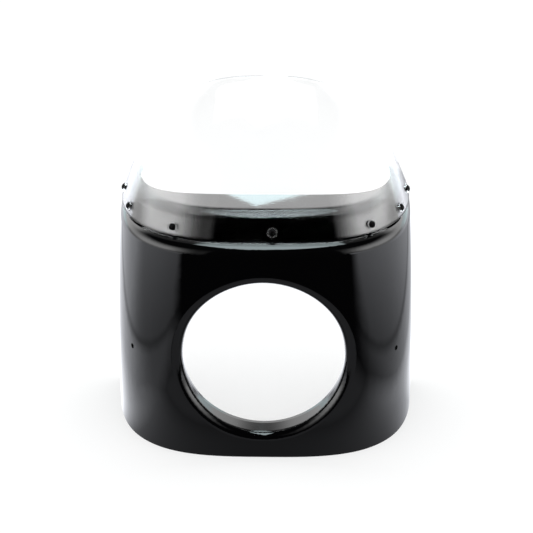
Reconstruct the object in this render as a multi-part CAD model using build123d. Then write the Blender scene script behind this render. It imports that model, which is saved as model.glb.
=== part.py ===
"""Headlight cowl: a moulded shell with a round lamp opening, and a clear bubble windscreen.

Millimetres, +Z up, front faces -Y. The origin is on the lamp axis, midway along the straight land of the
lamp opening. Every plan outline is a superellipse about one upright plan axis behind the open back.
"""
import os
from math import cos, pi, radians, sin, sqrt, tan

from build123d import *

# Lamp opening
lamp_bore_radius = 82.0
lamp_land = 4.0
lamp_draft = 6.0
lamp_edge_radius = 8.4
lip_depth = 12.23

# Shell: plan outlines at the rim and at the shoulder, measured from the plan axis
rear_setback = 16.5
rim_z = -110.4
shoulder_z = 123.2
rim_half_width = 160.2
rim_reach = 176.0
rim_squareness = 3.15
shoulder_half_width = 150.6
shoulder_reach = 163.8
shoulder_squareness = 3.2
lean_power = 2.0
wall = 3.0
shoulder_radius = 12.0
rear_corner_radius = 12.0

# Flange that carries the screen, and the shelf rolled in behind it
side_step = 0.2
front_step = 11.4
flange_height = 26.0
flange_roll_radius = 17.0
shelf_front_width = 47.5
shelf_side_width = 12.0
shelf_squareness = 4.3

# Windscreen
screen_thickness = 3.0
screen_seat_gap = 0.2
screen_foot_gap = 1.5
screen_crown = 138.0
screen_squareness = 3.0
screen_rake = 13.4
screen_corner_radius = 10.0

# Screen fasteners, placed by their angle about the plan axis
screw_rise = 7.5
front_screw_angle = 36.4
corner_screw_angle = 57.8
side_screw_angle = 75.5
front_row_shift = 3.2
screw_diameter = 4.0
screw_length = 16.0
screw_head_diameter = 7.6
screw_head_height = 2.2
screw_socket_width = 2.5
screw_socket_depth = 1.3
screw_hole_clearance = 0.5
thread_clearance = 0.1
fastener_seat_gap = 0.25
nylon_washer_diameter = 10.5
nylon_washer_thickness = 1.0
flat_washer_diameter = 9.0
flat_washer_thickness = 0.8
nut_width = 7.0
nut_height = 5.0

# Side mounting holes
side_hole_diameter = 5.5
side_hole_angle = 46.5
side_hole_z = -6.8

# Outlines use this many points across each half, the lamp opening this many all round, and lofts this
# many levels; the plan axis is placed to this many decimal places
outline_points = 8
body_levels = 5
flange_levels = 4
screen_levels = 9
mouth_points = 72
places = 2
margin = 10.0


def body_outline(z, inset=0.0):
    """Half width, reach and squareness of the body, upright at the rim and leaning in above it."""
    height = max(0.0, (z - rim_z) / (shoulder_z - rim_z))
    lean = height**lean_power
    half_width = rim_half_width + (shoulder_half_width - rim_half_width) * lean
    reach = rim_reach + (shoulder_reach - rim_reach) * lean
    squareness = rim_squareness + (shoulder_squareness - rim_squareness) * height
    return half_width - inset, reach - inset, squareness


def mouth_reach():
    """The body's shortest reach round the lamp opening, from the plan axis."""
    reaches = []
    for step in range(mouth_points):
        angle = 2 * pi * step / mouth_points
        half_width, reach, squareness = body_outline(lamp_bore_radius * cos(angle))
        across = abs(lamp_bore_radius * sin(angle)) / half_width
        reaches.append(reach * (1 - across**squareness) ** (1 / squareness))
    return min(reaches)


plan_axis_y = round(mouth_reach() - lip_depth, places)
rear_y = plan_axis_y - rear_setback
foremost_y = plan_axis_y - max(rim_reach, shoulder_reach) - margin
widest = max(rim_half_width, shoulder_half_width) + margin
screen_foot_z = shoulder_z + screen_foot_gap
screen_half_width = shoulder_half_width - side_step
screen_reach = shoulder_reach - front_step
flange_inset = screen_thickness + screen_seat_gap
flange_top_z = shoulder_z + flange_height


def outline_radius(angle, half_width, reach, squareness):
    """Distance from the plan axis to the outline, at an angle from straight ahead."""
    across = abs(sin(angle)) / half_width
    ahead = abs(cos(angle)) / reach
    return (across**squareness + ahead**squareness) ** (-1 / squareness)


def outline_point(angle, half_width, reach, squareness, z):
    radius = outline_radius(angle, half_width, reach, squareness)
    return Vector(radius * sin(angle), plan_axis_y - radius * cos(angle), z)


def outline_face(half_width, reach, squareness, z):
    """U-shaped outline open to the plan axis, closed there by a straight line."""
    steps = range(-outline_points, outline_points + 1)
    angles = [step / outline_points * pi / 2 for step in steps]
    points = [outline_point(angle, half_width, reach, squareness, z) for angle in angles]
    curve = Spline(*points)
    return make_face([curve, Line(curve @ 1, curve @ 0)])


def spread(first, last, count):
    return [first + (last - first) * step / (count - 1) for step in range(count)]


def screen_outline(z, inset=0.0):
    """The screen's dome: (x/width)^n + (ahead/reach)^n + height/crown = 1, with n its squareness."""
    height = (z - screen_foot_z) / (screen_crown - inset)
    scale = (1 - height) ** (1 / screen_squareness)
    half_width = (screen_half_width - inset) * scale
    reach = (screen_reach - inset) * scale
    return half_width, reach, screen_squareness


def screen_point(angle, z):
    return outline_point(angle, *screen_outline(z), z)


def screen_normal(point):
    """Outward direction of the dome at a point on it."""
    power = screen_squareness - 1
    across = abs(point.X) / screen_half_width
    ahead = (plan_axis_y - point.Y) / screen_reach
    side = 1 if point.X >= 0 else -1
    return Vector(
        side * screen_squareness * across**power / screen_half_width,
        -screen_squareness * ahead**power / screen_reach,
        1 / screen_crown,
    ).normalized()


def depth_below_screen(point, inset):
    """Depth, along the dome's normal, of the dome drawn smaller by the inset."""
    pull = Vector(
        point.X / screen_half_width,
        (point.Y - plan_axis_y) / screen_reach,
        (point.Z - screen_foot_z) / screen_crown,
    )
    return inset * screen_normal(point).dot(pull)


def longest_top_edge(solid):
    return solid.edges().group_by(Axis.Z)[-1].sort_by(SortBy.LENGTH)[-1]


def lamp_plug(inset):
    """Round plug through the lamp opening: a straight land that flares towards the front."""
    bore = lamp_bore_radius + inset
    slope = tan(radians(lamp_draft))
    land_front = -lamp_land / 2 + inset * tan(radians(lamp_draft / 2))
    flare = bore + (land_front - foremost_y) * slope
    back_y = plan_axis_y + margin
    profile = Polyline(
        (0, foremost_y), (flare, foremost_y), (bore, land_front), (bore, back_y), (0, back_y), close=True
    )
    return revolve(make_face(profile), Axis.Y)


def cowl_block(inset):
    """The whole form filled solid, drawn smaller by the inset: body, flange and lamp opening."""
    floor_z = rim_z - (margin if inset else 0.0)
    body_top = shoulder_z - inset
    body_faces = [outline_face(*body_outline(z, inset), z) for z in spread(floor_z, body_top, body_levels)]
    body = loft(body_faces)
    body = fillet(longest_top_edge(body), shoulder_radius - inset)

    flange_foot = shoulder_z - shoulder_radius
    flange_faces = [
        outline_face(*screen_outline(z, flange_inset + inset), z)
        for z in spread(flange_foot, flange_top_z - inset, flange_levels)
    ]
    flange = loft(flange_faces)
    flange = fillet(longest_top_edge(flange), flange_roll_radius - inset)

    block = body + flange - lamp_plug(inset)
    mouth = [edge for edge in block.edges() if edge.bounding_box().max.Y < -lamp_land]
    return fillet(mouth, lamp_edge_radius - inset)


def make_shell():
    shell = cowl_block(0.0) - cowl_block(wall)

    lip_end = lamp_land / 2
    room = plan_axis_y - lip_end
    behind_lip = Pos(0, lip_end + room / 2, 0) * Rot(90, 0, 0) * Cylinder(lamp_bore_radius + 2 * wall, room)
    shell -= behind_lip

    shelf_half_width, shelf_reach, _ = screen_outline(flange_top_z)
    opening = outline_face(
        shelf_half_width - shelf_side_width, shelf_reach - shelf_front_width, shelf_squareness, shoulder_z
    )
    shell -= extrude(opening, flange_height + margin, dir=(0, 0, 1))

    kept = Plane.YZ.offset(-widest) * Pos((rear_y + foremost_y) / 2, (rim_z + flange_top_z) / 2) * Rectangle(
        rear_y - foremost_y, flange_top_z - rim_z
    )
    kept = fillet(kept.vertices().group_by(Axis.Z)[0].sort_by(Axis.Y)[-1], rear_corner_radius)
    shell &= extrude(kept, 2 * widest, dir=(1, 0, 0))

    for station in screw_stations():
        shell -= station * Cylinder((screw_diameter + screw_hole_clearance) / 2, 4 * screw_length)
    for station in side_hole_stations():
        shell -= station * Cylinder(side_hole_diameter / 2, 4 * wall)
    return shell


def dome(inset):
    """The screen's dome filled solid, drawn smaller by the inset."""
    height = screen_crown - inset
    quarter_turns = spread(0.0, 0.92, screen_levels)
    levels = [screen_foot_z + height * sin(turn * pi / 2) for turn in quarter_turns]
    return loft([outline_face(*screen_outline(z, inset), z) for z in levels])


def make_windscreen():
    screen = dome(0.0) - dome(screen_thickness)
    top_z = screen_foot_z + screen_crown
    top_y = rear_y - screen_crown * tan(radians(screen_rake))
    outline = Polyline(
        (foremost_y, screen_foot_z), (rear_y, screen_foot_z), (top_y, top_z), (foremost_y, top_z), close=True
    )
    kept = Plane.YZ.offset(-widest) * make_face(outline)
    kept = fillet(kept.vertices().group_by(Axis.Z)[0].sort_by(Axis.Y)[-1], screen_corner_radius)
    screen &= extrude(kept, 2 * widest, dir=(1, 0, 0))
    for station in screw_stations():
        screen -= station * Cylinder(screw_diameter / 2 + screw_hole_clearance, 4 * screw_length)
    return screen


def screw_stations():
    """A frame at each screw, on the screen's outer face, with Z outwards."""
    front = [front_row_shift + turn * front_screw_angle for turn in (-1, 0, 1)]
    flanks = [side * angle for side in (-1, 1) for angle in (corner_screw_angle, side_screw_angle)]
    stations = []
    for angle in front + flanks:
        point = screen_point(radians(angle), screen_foot_z + screw_rise)
        stations.append(Location(Plane(origin=point, x_dir=(0, 0, 1), z_dir=screen_normal(point))))
    return stations


def side_hole_stations():
    """A frame at each side hole, on the body's outer face, with Z outwards and level."""
    half_width, reach, squareness = body_outline(side_hole_z)
    stations = []
    for side in (-1, 1):
        point = outline_point(side * radians(side_hole_angle), half_width, reach, squareness, side_hole_z)
        across = (abs(point.X) / half_width) ** (squareness - 1) / half_width
        ahead = ((plan_axis_y - point.Y) / reach) ** (squareness - 1) / reach
        stations.append(Location(Plane(origin=point, x_dir=(0, 0, 1), z_dir=(side * across, -ahead, 0))))
    return stations


def stack_bottom(station):
    """Depth of the flange's inner face below the screen's outer face, at a screw."""
    return depth_below_screen(station.position, flange_inset + wall) + fastener_seat_gap


def disc(radius, bottom, height):
    return Pos(0, 0, bottom + height / 2) * Cylinder(radius, height)


def ring(outer, inner, bottom, height):
    return disc(outer, bottom, height) - disc(inner, bottom, height)


def make_screw(station):
    seat = screen_seat_gap + nylon_washer_thickness
    head_radius = screw_head_diameter / 2
    dome_radius = (head_radius**2 + screw_head_height**2) / (2 * screw_head_height)
    ball = Pos(0, 0, seat + screw_head_height - dome_radius) * Sphere(dome_radius)
    head = disc(head_radius, seat, screw_head_height) & ball
    socket = extrude(RegularPolygon(screw_socket_width / 2, 6, major_radius=False), screw_head_height)
    head -= Pos(0, 0, seat + screw_head_height - screw_socket_depth) * socket
    shank = disc(screw_diameter / 2, seat - screw_length, screw_length)
    return station * (head + shank)


def make_nylon_washer(station):
    hole = screw_diameter / 2 + thread_clearance
    return station * ring(nylon_washer_diameter / 2, hole, screen_seat_gap, nylon_washer_thickness)


def make_flat_washer(station):
    hole = screw_diameter / 2 + thread_clearance
    bottom = -stack_bottom(station) - flat_washer_thickness
    return station * ring(flat_washer_diameter / 2, hole, bottom, flat_washer_thickness)


def make_nut(station):
    top = -stack_bottom(station) - flat_washer_thickness
    hexagon = extrude(RegularPolygon(nut_width / 2, 6, major_radius=False), nut_height)
    corner_radius = nut_width / sqrt(3)
    crown = disc(corner_radius, 0, nut_height)
    crown = chamfer(crown.edges().group_by(Axis.Z)[0], corner_radius - nut_width / 2)
    nut = Pos(0, 0, top - nut_height) * (hexagon & crown)
    return station * (nut - disc(screw_diameter / 2 + thread_clearance, top - nut_height, nut_height))


def main():
    os.makedirs("parts", exist_ok=True)
    stations = screw_stations()
    nodes = {
        "cowl_shell": make_shell(),
        "windscreen": make_windscreen(),
        "screen_screws": Compound([make_screw(station).solid() for station in stations]),
        "nylon_washers": Compound([make_nylon_washer(station).solid() for station in stations]),
        "flat_washers": Compound([make_flat_washer(station).solid() for station in stations]),
        "lock_nuts": Compound([make_nut(station).solid() for station in stations]),
    }
    for name, shape in nodes.items():
        export_step(shape, f"parts/{name}.step")


main()
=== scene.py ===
import math

import bpy
import numpy as np
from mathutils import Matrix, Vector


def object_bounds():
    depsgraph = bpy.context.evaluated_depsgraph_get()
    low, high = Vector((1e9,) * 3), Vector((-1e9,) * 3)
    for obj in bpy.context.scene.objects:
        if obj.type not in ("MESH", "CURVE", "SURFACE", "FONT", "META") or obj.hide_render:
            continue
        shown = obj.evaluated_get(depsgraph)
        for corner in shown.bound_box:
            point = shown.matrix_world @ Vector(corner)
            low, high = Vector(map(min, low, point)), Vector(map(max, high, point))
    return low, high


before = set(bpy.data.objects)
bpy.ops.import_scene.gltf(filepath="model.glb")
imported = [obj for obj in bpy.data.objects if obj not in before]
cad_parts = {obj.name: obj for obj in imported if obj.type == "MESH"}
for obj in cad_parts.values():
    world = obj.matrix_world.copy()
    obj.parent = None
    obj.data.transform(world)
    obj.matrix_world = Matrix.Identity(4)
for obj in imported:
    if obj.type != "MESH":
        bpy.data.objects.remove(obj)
cadBox = [list(corner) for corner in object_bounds()]
floorHeight = cadBox[0][2]
print("frame loaded:", ", ".join(sorted(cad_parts)))


class Wire:  # one shader socket; arithmetic on it adds Math nodes
    def __init__(self, tree, socket):
        self.tree = tree
        self.socket = socket

    @staticmethod
    def node(tree, kind, settings=None, sockets=None, out=0):  # settings first, then socket values or links
        made = tree.nodes.new("ShaderNode" + kind)
        for name, value in (settings or {}).items():
            setattr(made, name, value)
        for name, value in (sockets or {}).items():
            if isinstance(value, Wire):
                tree.links.new(value.socket, made.inputs[name])
            else:
                made.inputs[name].default_value = value
        return Wire(tree, made.outputs[out]) if made.outputs else None

    def calc(self, operation, first, second=0.0):
        return Wire.node(self.tree, "Math", {"operation": operation}, {0: first, 1: second})

    def __add__(self, other): return self.calc("ADD", self, other)
    def __radd__(self, other): return self.calc("ADD", other, self)
    def __sub__(self, other): return self.calc("SUBTRACT", self, other)
    def __rsub__(self, other): return self.calc("SUBTRACT", other, self)
    def __mul__(self, other): return self.calc("MULTIPLY", self, other)
    def __rmul__(self, other): return self.calc("MULTIPLY", other, self)
    def __truediv__(self, other): return self.calc("DIVIDE", self, other)
    def __rtruediv__(self, other): return self.calc("DIVIDE", other, self)
    def __abs__(self): return self.calc("ABSOLUTE", self)

    def atLeast(self, other): return self.calc("MAXIMUM", self, other)
    def atMost(self, other): return self.calc("MINIMUM", self, other)

    def rise(self, low, high):  # 0 below low, 1 above high, smooth between; low above high turns it round
        sockets = {"Value": self, "From Min": low, "From Max": high}
        return Wire.node(self.tree, "MapRange", {"interpolation_type": "SMOOTHSTEP"}, sockets)

    def between(self, low, high):  # low where this mask is 0, high where it is 1
        return low + self * (high - low)


def blankTree(owner):
    owner.use_nodes = True
    owner.node_tree.nodes.clear()
    return owner.node_tree


def axes(vector):  # x, y and z of a vector socket
    split = Wire.node(vector.tree, "SeparateXYZ", None, {0: vector}).socket.node
    return [Wire(vector.tree, socket) for socket in split.outputs]


def objectPlace(tree):
    return Wire.node(tree, "TexCoord", out="Object")


def surfaceNormal(tree):
    return Wire.node(tree, "NewGeometry", out="Normal")


def noise(place, scale, detail):
    return Wire.node(place.tree, "TexNoise", None, {"Vector": place, "Scale": scale, "Detail": detail})


def blendColours(amount, low, high):  # low where amount is 0
    sockets = {0: amount, 6: (*low, 1), 7: (*high, 1)}  # 6 and 7 are the Mix node's colour ends
    return Wire.node(amount.tree, "Mix", {"data_type": "RGBA"}, sockets, out=2)


def scaleColour(colour, amount):  # a colour made brighter or darker, also past 1
    return Wire.node(amount.tree, "VectorMath", {"operation": "SCALE"}, {0: colour, "Scale": amount})


def blendShaders(tree, amount, low, high):  # low where amount is 0
    return Wire.node(tree, "MixShader", None, {0: amount, 1: low, 2: high})


def lightPath(tree):  # masks: straight from the camera, also through the clear screen; diffuse bounces
    path = Wire.node(tree, "LightPath").socket.node
    diffuse = Wire(tree, path.outputs["Diffuse Depth"]).atMost(1.0)
    direct = 1 - (diffuse + Wire(tree, path.outputs["Glossy Depth"])).atMost(1.0)
    return direct, diffuse


# camera, about 1.5 m away, looking down, a degree to the right of straight ahead
cameraView = {
    "place": (0.0235, -1.3195, 0.7479), "pitch": 63.76, "turn": 0.9,
    "lens": 101.13, "sensor": 36, "reach": 50,
}


def setCamera(view):
    data = bpy.data.cameras.new("photoCamera")
    data.lens = view["lens"]
    data.sensor_width = view["sensor"]
    data.clip_end = view["reach"]
    camera = bpy.data.objects.new("photoCamera", data)
    camera.location = view["place"]
    camera.rotation_euler = (math.radians(view["pitch"]), 0, math.radians(view["turn"]))
    bpy.context.scene.collection.objects.link(camera)
    bpy.context.scene.camera = camera
    bpy.context.scene.view_settings.view_transform = "Standard"


setCamera(cameraView)
print("camera set")

# pale studio: bright sides, a plain back with a vee, an unlit front and a kite-shaped soft box above
# angles in degrees; the box lies in a ceiling one unit up
studio = {
    "plainLevel": 1.0, "coolTint": (0.85, 1.0, 1.03),
    "frontCentre": 6.5, "frontHalf": 25, "frontLift": -30, "frontHeight": 127, "frontEdge": (0.88, 1.22),
    "sideCentre": 3, "sideSpan": (25, 60), "sideLow": 0.26, "sideHigh": 3.5, "topFade": (48, 17),
    "dimSpan": (88, 118), "dimShare": 0.32, "lowFade": (0, 11), "lowShare": 0.45,
    "backSpan": (120, 140), "backLow": 2.8, "backHigh": 0.25, "backFade": (48, 33),
    "veeGlow": 4.8, "veeTip": 23.93, "veeSoft": 0.06, "veeTurn": -1.34,
    "veeLeft": 0.38, "veeRight": 0.223, "veeFade": (9, 8),
    "boxFront": -0.56, "boxMiddle": 0.12, "boxBack": 0.95, "boxHalf": 0.27, "boxSoft": 0.012,
    "boxLowest": 0.05, "boxTipShift": -0.035, "boxWideShift": 0.03,
    "boxRearGlow": 4.2, "boxFrontGlow": 7.5, "boxGlowSpan": (0.2, 0.0),
}


def buildStudio(values):
    world = bpy.data.worlds.new("studio")
    bpy.context.scene.world = world
    tree = blankTree(world)
    direction = Wire.node(tree, "TexCoord", out="Generated")
    x, y, z = axes(direction)
    perRadian = math.degrees(1)
    turn = direction.calc("ARCTAN2", x, 0 - y) * perRadian  # from straight ahead, to the right
    lift = direction.calc("ARCSINE", z) * perRadian  # above level

    across = (turn - values["frontCentre"]) / values["frontHalf"]
    above = (lift - values["frontLift"]) / values["frontHeight"]
    aside = abs(turn - values["sideCentre"])
    sides = values["sideLow"] + aside.rise(*values["sideSpan"]) * values["sideHigh"]
    sides = sides * (1 - values["dimShare"] * aside.rise(*values["dimSpan"]))
    ellipse = across * across + above * above  # outline of the unlit front
    sides = sides * ellipse.rise(*values["frontEdge"])
    sides = sides * lift.rise(*values["topFade"])
    sides = sides * lift.rise(*values["lowFade"]).between(values["lowShare"], 1)

    back = lift.rise(*values["backFade"]).between(values["backHigh"], values["backLow"])
    bearing = direction.calc("ARCTAN2", x, y) * perRadian - values["veeTurn"]  # from straight behind
    drop = (bearing * values["veeRight"]).atLeast(bearing * -values["veeLeft"])
    vee = (lift + drop).rise(values["veeTip"] + values["veeSoft"], values["veeTip"] - values["veeSoft"])
    back = back + vee * abs(bearing).rise(*values["veeFade"]) * values["veeGlow"]
    behind = abs(turn).rise(*values["backSpan"])

    height = z.atLeast(values["boxLowest"])
    ahead = y / height  # where the direction meets the ceiling
    front = (ahead - values["boxFront"]) / (values["boxMiddle"] - values["boxFront"])
    rear = (values["boxBack"] - ahead) / (values["boxBack"] - values["boxMiddle"])
    shift = front.atLeast(0.0).atMost(1.0).between(values["boxTipShift"], values["boxWideShift"])
    box = abs(x / height - shift) - front.atMost(rear) * values["boxHalf"]
    box = box.rise(values["boxSoft"], -values["boxSoft"])
    box = box * ahead.rise(*values["boxGlowSpan"]).between(values["boxRearGlow"], values["boxFrontGlow"])

    direct, diffuse = lightPath(tree)
    light = behind.between(sides, back) + box
    light = diffuse.between(light, values["plainLevel"])  # matt surfaces get a plain level
    cool = box.atLeast(vee * behind).atMost(1.0) * (1 - direct)
    tint = blendColours(cool, (1, 1, 1), values["coolTint"])
    colour = scaleColour(tint, direct.between(light, 1))  # white to the camera
    Wire.node(tree, "OutputWorld", None, {"Surface": Wire.node(tree, "Background", None, {"Color": colour})})


buildStudio(studio)

# floor: white to the camera with a soft contact shadow; what gloss mirrors in it is dark in front, paler aside
# metres; a Span is along y and a Width is across x; two Rise or footGlow values are for the left and the right
floorLook = {
    "size": 6.0, "shadow": 0.4, "paint": 0.97, "mirrorTint": (0.96, 0.98, 1.04),
    "sideSplit": (0.05, -0.05),
    "leftStart": 0.25, "leftSlope": 0.65, "leftSoft": 0.065,
    "rightStart": 0.343, "rightSlope": 0.7, "rightSoft": 0.1,
    "innerHalf": 0.36, "innerSoft": 0.01, "innerGlow": 0.65,
    "innerRise": (0.7, 0.1), "innerSpan": (-0.06, 0.12),
    "footGlow": (0.8, 1.5), "footSpan": (-0.08, 0.0), "footWidth": (0.26, 0.15),
    "farGlow": 0.52, "farRise": (1.5, 2.3), "farReach": 0.5,
    "backRise": (0.6, 0.0), "backSpan": (0.0, 0.25),
    "seamShade": 0.35, "seamHalf": 0.035,
    "nearGlow": 0.2, "nearSpan": (-0.15, -0.04),
    "wingGlow": 25, "wingSpan": (-0.12, 0.04), "wingWidth": (0.3, 0.2),
    "underGlow": 2.4, "underSpan": (0.02, 0.13), "underWidth": (0.2, 0.12),
    "aheadGlow": 0.3, "aheadWidth": (0.3, 0.2),
    "aheadFarSpan": (-0.5, -0.3), "aheadNearSpan": (-0.04, -0.1),
}


def mirroredFloor(tree, look):  # brightness that gloss sees in the floor
    x, y = axes(objectPlace(tree))[:2]
    beside = abs(x)
    onLeft = x.rise(*look["sideSplit"])
    perSide = {name: onLeft.between(look[name][1], look[name][0])
               for name in ("innerRise", "footGlow", "farRise", "backRise")}

    left = (0 - x - look["leftSlope"] * (look["leftStart"] - y)).rise(-look["leftSoft"], look["leftSoft"])
    right = (x - look["rightSlope"] * (look["rightStart"] - y)).rise(-look["rightSoft"], look["rightSoft"])
    inner = look["innerGlow"] + y.rise(*look["innerSpan"]) * perSide["innerRise"]
    foot = beside.rise(*look["footWidth"]) * y.rise(*look["footSpan"])
    inner = inner + foot * perSide["footGlow"]  # palest at the object's foot
    past = beside - look["innerHalf"]
    far = look["farGlow"] + past.atLeast(0.0).atMost(look["farReach"]) * perSide["farRise"]
    far = far + y.rise(*look["backSpan"]) * perSide["backRise"]
    seam = 1 - look["seamShade"] * abs(past).rise(look["seamHalf"], 0.0)  # thin darker line in the floor
    sides = past.rise(look["innerSoft"], -look["innerSoft"]).between(far, inner) * seam * left.atLeast(right)

    wing = y.rise(*look["wingSpan"]) * beside.rise(*look["wingWidth"])
    near = y.rise(*look["nearSpan"]) * look["nearGlow"] + wing * x * x * look["wingGlow"]
    under = y.rise(*look["underSpan"]) * beside.rise(*look["underWidth"])  # behind the open back
    ahead = y.rise(*look["aheadFarSpan"]) * y.rise(*look["aheadNearSpan"]) * beside.rise(*look["aheadWidth"])
    middle = near.atLeast(under * look["underGlow"])
    middle = middle.atLeast(ahead * look["aheadGlow"])  # the lamp lip mirrors this one
    return sides.atLeast(middle)


def buildFloor(look):
    half = look["size"] / 2
    corners = [(-half, -half, floorHeight), (half, -half, floorHeight), (half, half, floorHeight),
               (-half, half, floorHeight)]
    mesh = bpy.data.meshes.new("floor")
    mesh.from_pydata(corners, [], [(0, 1, 2, 3)])
    floor = bpy.data.objects.new("floor", mesh)
    bpy.context.scene.collection.objects.link(floor)
    material = bpy.data.materials.new("paleFloor")
    tree = blankTree(material)
    direct, _ = lightPath(tree)
    mirrored = scaleColour(look["mirrorTint"], mirroredFloor(tree, look))
    mirrored = Wire.node(tree, "Emission", None, {"Color": mirrored})
    white = Wire.node(tree, "Emission", None, {"Color": (1, 1, 1, 1)})
    paint = Wire.node(tree, "BsdfDiffuse", None, {"Color": (look["paint"],) * 3 + (1,)})
    shown = blendShaders(tree, look["shadow"], white, paint)
    shader = blendShaders(tree, direct, mirrored, shown)
    Wire.node(tree, "OutputMaterial", None, {"Surface": shader})
    mesh.materials.append(material)


buildFloor(floorLook)

overheadLamp = {"place": (0.0, 0.3, 1.6), "target": (0.0, 0.05, 0.0), "size": 1.4, "power": 10}


def hangLamp(values):
    data = bpy.data.lights.new("overheadSoftBox", "AREA")
    data.shape = "RECTANGLE"
    data.size = data.size_y = values["size"]
    data.energy = values["power"]
    lamp = bpy.data.objects.new("overheadSoftBox", data)
    lamp.location = values["place"]
    aim = np.array(values["target"]) - np.array(values["place"])
    aim /= np.linalg.norm(aim)
    lamp.rotation_euler = (math.acos(-aim[2]), 0, math.atan2(aim[0], -aim[1]))
    lamp.visible_glossy = False  # the mirrored soft box is the one in the world
    bpy.context.scene.collection.objects.link(lamp)


hangLamp(overheadLamp)
print("studio built")


def newMaterial(name):
    material = bpy.data.materials.new(name)
    return material, blankTree(material)


def principled(tree, sockets):
    return Wire.node(tree, "BsdfPrincipled", None, sockets)


def dress(node, material, shader):  # gives a carried-over piece its finish
    Wire.node(material.node_tree, "OutputMaterial", None, {"Surface": shader})
    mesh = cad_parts[node].data
    mesh.materials.clear()
    mesh.materials.append(material)


# moulded shell: gloss black outside and round the lamp lip, matt and grainy inside
shellFinish = {
    "black": (0.0012, 0.0012, 0.0014), "haze": (0.004, 0.004, 0.0045),
    "bend": 1.5, "roughness": 0.018,
    "cloudNoise": (9, 3), "cloudSpan": (0.4, 0.7), "cloudRoughness": 0.012,
    "hazeSpan": (0.55, 0.8), "hazeShare": 0.25,
    "speckNoise": (420, 2), "speckSpan": (0.72, 0.8), "speckRoughness": 0.1, "speckShare": 0.5,
    "peelNoise": (260, 1), "peelDepth": 0.000003,
    "grainNoise": (900, 4), "grainHeight": 25, "grainRoughness": 0.15, "insideRoughness": 0.42,
    "planAxis": 0.1535, "inwardSpan": (0.0, -0.02), "downwardSpan": (-0.5, -0.7),
    "lipSquare": (0.0093, 0.0091), "lipBack": (0.0032, 0.0028),
    "landSpan": (-0.35, -0.2), "landRoughness": 0.12,
}


def glossShell(finish):
    material, tree = newMaterial("glossShell")
    place = objectPlace(tree)
    x, y, z = axes(place)
    nx, ny, nz = axes(surfaceNormal(tree))
    inward = (nx * x + ny * (y - finish["planAxis"])).rise(*finish["inwardSpan"])  # faces the plan's axis
    inward = inward.atLeast(nz.rise(*finish["downwardSpan"]))
    lip = (x * x + z * z).rise(*finish["lipSquare"]) * y.rise(*finish["lipBack"])  # by the radius squared
    inward = inward * (1 - lip)
    land = lip * ny.rise(*finish["landSpan"])  # the trimmed land is a little satin
    cloud = noise(place, *finish["cloudNoise"])
    peel = noise(place, *finish["peelNoise"])
    grain = noise(place, *finish["grainNoise"])
    speck = noise(place, *finish["speckNoise"]).rise(*finish["speckSpan"])
    gloss = finish["roughness"] + cloud.rise(*finish["cloudSpan"]) * finish["cloudRoughness"]
    gloss = gloss + speck * finish["speckRoughness"] + land * finish["landRoughness"]
    rough = inward.between(gloss, finish["insideRoughness"] + grain * finish["grainRoughness"])
    pale = speck * finish["speckShare"] + cloud.rise(*finish["hazeSpan"]) * finish["hazeShare"]
    colour = blendColours(pale, finish["black"], finish["haze"])
    relief = inward.between(peel, grain * finish["grainHeight"])
    bump = Wire.node(tree, "Bump", None, {"Strength": 1.0, "Distance": finish["peelDepth"], "Height": relief})
    sockets = {"Base Color": colour, "Roughness": rough, "Normal": bump, "IOR": finish["bend"]}
    return material, principled(tree, sockets)


# windscreen: clear acrylic with slight haze and dust, and a frosted sawn edge at the raked rear
screenFinish = {
    "tint": (0.994, 0.996, 0.999), "bend": 1.49, "roughness": 0.004,
    "cloudNoise": (14, 4), "tintSpan": (0.3, 0.7), "hazeSpan": (0.45, 0.8), "hazeRoughness": 0.02,
    "dustNoise": (700, 1), "dustSpan": (0.74, 0.8), "dustRoughness": 0.05,
    "rake": 13.4, "edgeSpan": (0.96, 0.985),
    "frostColour": (0.86, 0.87, 0.88, 1), "frostRoughness": 0.75, "frostShare": 0.8,
    "leavingTint": (0.55, 0.57, 0.58, 1), "leavingRoughness": 0.6, "leavingBend": 1.03,
}


def clearScreen(finish):
    material, tree = newMaterial("clearScreen")
    place = objectPlace(tree)
    cloud = noise(place, *finish["cloudNoise"])
    dust = noise(place, *finish["dustNoise"]).rise(*finish["dustSpan"])
    ny, nz = axes(surfaceNormal(tree))[1:]
    rake = math.radians(finish["rake"])
    facing = ny * math.cos(rake) + nz * math.sin(rake)  # 1 on the sawn edge, -1 where it is met from inside
    sawn = facing.rise(*finish["edgeSpan"])
    leaving = (0 - facing).rise(*finish["edgeSpan"])
    rough = finish["roughness"] + cloud.rise(*finish["hazeSpan"]) * finish["hazeRoughness"]
    rough = rough + dust * finish["dustRoughness"]
    colour = blendColours(cloud.rise(*finish["tintSpan"]), finish["tint"], (1, 1, 1))
    clear = principled(tree, {
        "Base Color": colour, "Roughness": rough, "IOR": finish["bend"], "Transmission Weight": 1.0,
    })
    frost = principled(tree, {"Base Color": finish["frostColour"], "Roughness": finish["frostRoughness"]})
    hazy = principled(tree, {
        "Base Color": finish["leavingTint"], "Roughness": finish["leavingRoughness"],
        "IOR": finish["leavingBend"], "Transmission Weight": 1.0,
    })
    edge = blendShaders(tree, leaving, frost, hazy)
    sawnShare = sawn * finish["frostShare"] + leaving
    return material, blendShaders(tree, sawnShare, clear, edge)  # clear comes first, so a bake takes its values


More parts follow.
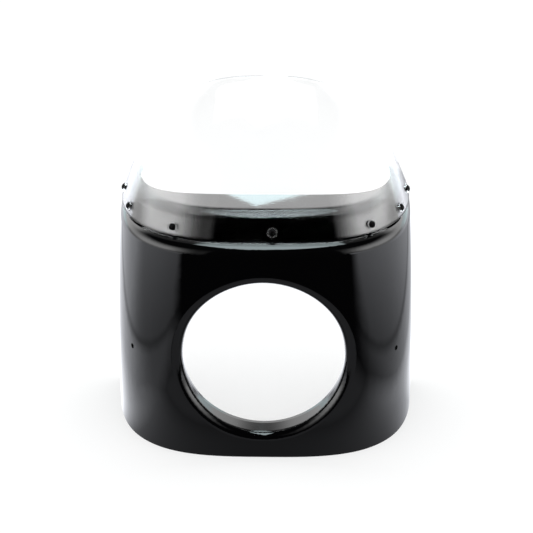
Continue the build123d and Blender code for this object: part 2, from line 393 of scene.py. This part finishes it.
# small metal parts: black screws, zinc washers and nuts
metalFinishes = {
    "blackScrew": {
        "low": (0.002, 0.002, 0.002), "high": (0.006, 0.006, 0.006), "metal": 0, "shine": 0.06, "rough": 0.26,
        "noise": (900, 3),
    },
    "zincWasher": {
        "low": (0.50, 0.50, 0.49), "high": (0.68, 0.67, 0.64), "metal": 1, "shine": 0.5, "rough": 0.3,
        "noise": (700, 3),
    },
    "zincNut": {
        "low": (0.46, 0.46, 0.45), "high": (0.64, 0.63, 0.6), "metal": 1, "shine": 0.5, "rough": 0.34,
        "noise": (800, 3),
    },
}
metalMottle = {"span": (0.35, 0.7), "middle": 0.5, "roughSwing": 0.25, "bump": 0.3, "depth": 0.00002}


def smallMetal(name):
    finish, mottling = metalFinishes[name], metalMottle
    material, tree = newMaterial(name)
    mottle = noise(objectPlace(tree), *finish["noise"])
    colour = blendColours(mottle.rise(*mottling["span"]), finish["low"], finish["high"])
    rough = finish["rough"] + (mottle - mottling["middle"]) * mottling["roughSwing"]
    bump = {"Strength": mottling["bump"], "Distance": mottling["depth"], "Height": mottle}
    return material, principled(tree, {
        "Base Color": colour, "Roughness": rough, "Normal": Wire.node(tree, "Bump", None, bump),
        "Metallic": finish["metal"], "Specular IOR Level": finish["shine"],
    })


# washers under the screw heads: cloudy natural nylon
nylonFinish = {
    "pale": (0.95, 0.96, 0.97), "warm": (0.88, 0.89, 0.89), "cloudNoise": (350, 2), "cloudSpan": (0.3, 0.7),
    "rough": 0.06, "cloudRoughness": 0.04, "clear": 0.96, "bend": 1.45,
}


def cloudyNylon(finish):
    material, tree = newMaterial("nylon")
    cloud = noise(objectPlace(tree), *finish["cloudNoise"])
    colour = blendColours(cloud.rise(*finish["cloudSpan"]), finish["warm"], finish["pale"])
    rough = finish["rough"] + cloud * finish["cloudRoughness"]
    return material, principled(tree, {
        "Base Color": colour, "Roughness": rough, "Transmission Weight": finish["clear"], "IOR": finish["bend"],
    })


dress("cowl_shell", *glossShell(shellFinish))
dress("windscreen", *clearScreen(screenFinish))
dress("screen_screws", *smallMetal("blackScrew"))
dress("nylon_washers", *cloudyNylon(nylonFinish))
dress("flat_washers", *smallMetal("zincWasher"))
dress("lock_nuts", *smallMetal("zincNut"))
print("materials set")
